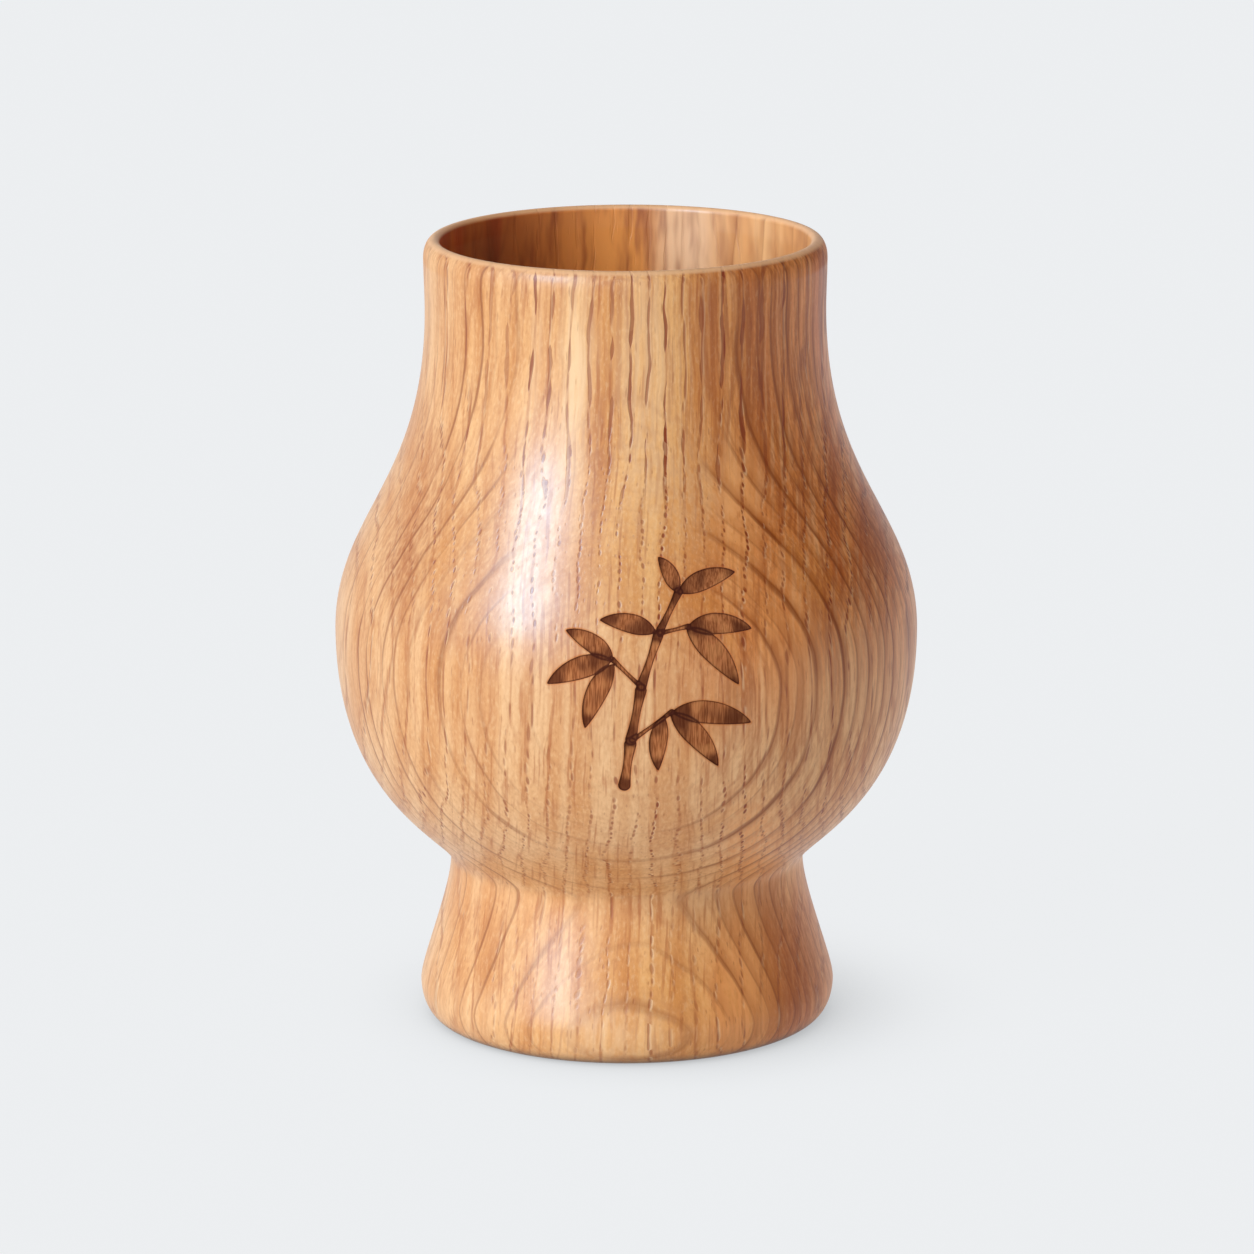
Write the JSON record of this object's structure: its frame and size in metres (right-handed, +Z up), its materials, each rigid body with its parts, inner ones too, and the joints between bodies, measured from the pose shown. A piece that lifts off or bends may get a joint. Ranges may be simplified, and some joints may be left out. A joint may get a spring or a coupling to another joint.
{
  "type": "wooden cup",
  "caption": "Footed drinking cup turned from solid wood: round belly, tight waist over a flared foot, narrow open neck and a thin rounded lip.",
  "frame": {"origin": "centre of the flat ring that the cup stands on, at table height", "axes": "+Z up along the turning axis, out through the mouth; -Y faces the viewer of the picture, +X to the viewer's right"},
  "size_m": [0.08, 0.08, 0.109],
  "materials": {
    "lacquered_wood": "satin clear lacquer over open-grained oak"
  },
  "bodies": {
    "root": {"turned_cup": "lacquered_wood"}
  },
  "joints": []
}
